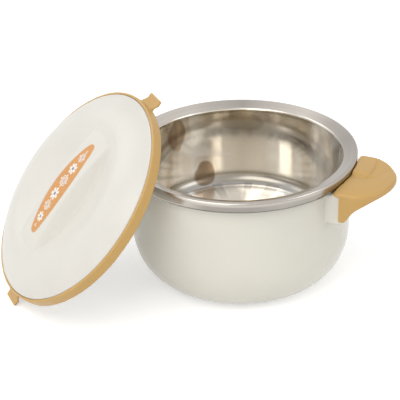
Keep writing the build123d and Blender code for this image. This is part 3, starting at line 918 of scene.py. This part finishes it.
def dots(tree, petals, thickness):
    """Small dots in a round."""
    return [disc_round(tree, petals, 0.62, 0.36, thickness)]


def centre(tree, petals, thickness):
    """Middle of a flower or square."""
    return [disc(tree, 1.0, thickness, 16)]


def print_row(name, motif, finish, settings, places):
    """Print a motif at places (x along the insert, radius) in mm and lay it on the insert."""
    points = bpy.data.meshes.new(name + "_places")
    points.from_pydata([(x, 0.0, 0.0) for x, radius in places], [], [])
    layer = points.attributes.new("size", "FLOAT", "POINT")
    layer.data.foreach_set("value", [radius for x, radius in places])
    holder = bpy.data.objects.new(name + "_places", points)
    bpy.context.scene.collection.objects.link(holder)
    modifier = holder.modifiers.new("print", "NODES")
    modifier.node_group = print_tree(name, motif, finish)
    for item in modifier.node_group.interface.items_tree:
        if item.in_out == "INPUT" and item.name in settings:
            modifier[item.identifier] = settings[item.name]
    bpy.context.view_layer.update()
    graph = bpy.context.evaluated_depsgraph_get()
    mesh = bpy.data.meshes.new_from_object(holder.evaluated_get(graph))
    bpy.data.objects.remove(holder)
    for vert in mesh.vertices:
        x, y, z = vert.co
        vert.co = Vector((x, y, arch(x) + INSERT_TOP + z)) * MM
    mesh.transform(lid_matrix())
    clean_mesh(mesh)
    hand_over("print_" + name, mesh, finish, "lid")


# ---------------------------------------------------------------- stage
WORLD_LEVEL = 0.66
FLOOR_GLOW = 0.46
FLOOR_HALF = 6.0
# lamps: name, place, aim, width and height, power, colour
LAMPS = (
    ("key", (-0.2, -1.15, 1.62), (0, 0, 0.05), (1.4, 1.0), 9.8, (1.0, 0.985, 0.96)),
    ("front", (-0.2, -1.75, 0.5), (0, 0, 0.06), (1.4, 0.7), 3.8, (1, 1, 1)),
    ("side", (1.6, 0.1, 1.2), (0, 0, 0.05), (0.9, 0.9), 4.0, (1, 1, 1)),
    ("left", (-1.3, 0.1, 1.2), (-0.1, -0.1, 0.1), (0.9, 0.9), 4.0, (1, 1, 1)),
)


def area_lamp(name, place, aim, size, power, tint):
    """Rectangular lamp turned towards its aim."""
    lamp = bpy.data.lights.new(name, "AREA")
    lamp.shape = "RECTANGLE"
    lamp.size, lamp.size_y = size
    lamp.energy = power
    lamp.color = tint
    holder = bpy.data.objects.new(name, lamp)
    bpy.context.scene.collection.objects.link(holder)
    holder.location = place
    holder.rotation_mode = "QUATERNION"
    holder.rotation_quaternion = (Vector(aim) - Vector(place)).to_track_quat("-Z", "Y")


def seen_directly(tree):
    """One for camera, glossy and transmission rays, and zero for the rest."""
    path = tree.nodes.new("ShaderNodeLightPath")
    both = maths(tree, "MAXIMUM", path.outputs["Is Camera Ray"], path.outputs["Is Glossy Ray"])
    return maths(tree, "MAXIMUM", both, path.outputs["Is Transmission Ray"])


def make_world():
    """White behind the object and a plain level of light on it."""
    world = bpy.data.worlds.new("studio")
    bpy.context.scene.world = world
    world.use_nodes = True
    tree = world.node_tree
    tree.nodes.clear()
    output = tree.nodes.new("ShaderNodeOutputWorld")
    strength = spread(tree, seen_directly(tree), WORLD_LEVEL, 1.0)
    back = node(tree, "ShaderNodeBackground", None, Color=(1, 1, 1, 1), Strength=strength)
    tree.links.new(back.outputs[0], output.inputs["Surface"])


def floor_finish():
    """Pale floor that shows white and keeps the object's shadow."""
    made, tree, shader = new_material("studio_floor")
    grain = noise(tree, object_place(tree), 60.0, 2.0)
    tree.links.new(ramp(tree, grain, [(0.3, 0.80), (0.7, 0.83)]), shader.inputs["Base Color"])
    shader.inputs["Roughness"].default_value = 0.8
    shader.inputs["Specular IOR Level"].default_value = 0.0
    glow = maths(tree, "MULTIPLY", seen_directly(tree), FLOOR_GLOW)
    emission = node(tree, "ShaderNodeEmission", None, Color=(1, 1, 1, 1), Strength=glow)
    total = tree.nodes.new("ShaderNodeAddShader")
    output = next(n for n in tree.nodes if n.type == "OUTPUT_MATERIAL")
    tree.links.new(shader.outputs[0], total.inputs[0])
    tree.links.new(emission.outputs[0], total.inputs[1])
    tree.links.new(total.outputs[0], output.inputs["Surface"])
    return made


def make_camera():
    """Camera at the height, distance and slight roll of the view."""
    place = Vector((507.16, -1148.17, 741.32)) * MM
    forward = Vector((-0.3792, 0.7949, -0.4736)).normalized()
    roll = radians(-1.30)
    right = forward.cross(Vector((0, 0, 1))).normalized()
    up = right.cross(forward)
    right, up = right * cos(roll) + up * sin(roll), up * cos(roll) - right * sin(roll)
    data = bpy.data.cameras.new("camera")
    data.sensor_width = 36.0
    data.lens = 141.4
    data.clip_start, data.clip_end = 0.05, 20.0
    camera = bpy.data.objects.new("camera", data)
    bpy.context.scene.collection.objects.link(camera)
    turned = Matrix((right, up, -forward)).transposed().to_4x4()
    camera.matrix_world = Matrix.Translation(place) @ turned
    bpy.context.scene.camera = camera


class CASSEROLE_OT_stage(bpy.types.Operator):
    """Floor, lamps, world and camera"""

    bl_idname = "casserole.stage"
    bl_label = "Stage"

    def execute(self, context):
        scene = bpy.context.scene
        scene.view_settings.view_transform = "Standard"
        make_world()
        mesh = bpy.data.meshes.new("floor")
        corners = [(x * FLOOR_HALF, y * FLOOR_HALF, 0) for x, y in ((-1, -1), (1, -1), (1, 1), (-1, 1))]
        mesh.from_pydata(corners, [], [(0, 1, 2, 3)])
        floor = bpy.data.objects.new("floor", mesh)
        scene.collection.objects.link(floor)
        mesh.materials.append(floor_finish())
        for lamp in LAMPS:
            area_lamp(*lamp)
        make_camera()
        return {"FINISHED"}


# ---------------------------------------------------------------- add-on
class CASSEROLE_PT_panel(bpy.types.Panel):
    bl_label = "Casserole"
    bl_idname = "CASSEROLE_PT_panel"
    bl_space_type = "VIEW_3D"
    bl_region_type = "UI"
    bl_category = "Casserole"

    def draw(self, context):
        layout = self.layout
        for group in (context.scene.casserole_sizes, context.scene.casserole_colours):
            for name in group.bl_rna.properties.keys():
                if name not in ("rna_type", "name"):
                    layout.prop(group, name)
        for step in STEPS:
            layout.operator(step.bl_idname)


STEPS = (
    CASSEROLE_OT_bowl,
    CASSEROLE_OT_shell,
    CASSEROLE_OT_handles,
    CASSEROLE_OT_lid_cover,
    CASSEROLE_OT_lid_ring,
    CASSEROLE_OT_lid_inside,
    CASSEROLE_OT_insert,
    CASSEROLE_OT_stage,
)
CLASSES = (CasseroleSizes, CasseroleColours, *STEPS, CASSEROLE_PT_panel)


def register():
    for entry in CLASSES:
        bpy.utils.register_class(entry)
    bpy.types.Scene.casserole_sizes = PointerProperty(type=CasseroleSizes)
    bpy.types.Scene.casserole_colours = PointerProperty(type=CasseroleColours)


def unregister():
    del bpy.types.Scene.casserole_colours
    del bpy.types.Scene.casserole_sizes
    for entry in reversed(CLASSES):
        bpy.utils.unregister_class(entry)


def main():
    register()
    for step in STEPS:
        group, name = step.bl_idname.split(".")
        getattr(getattr(bpy.ops, group), name)()


if __name__ == "__main__":
    main()
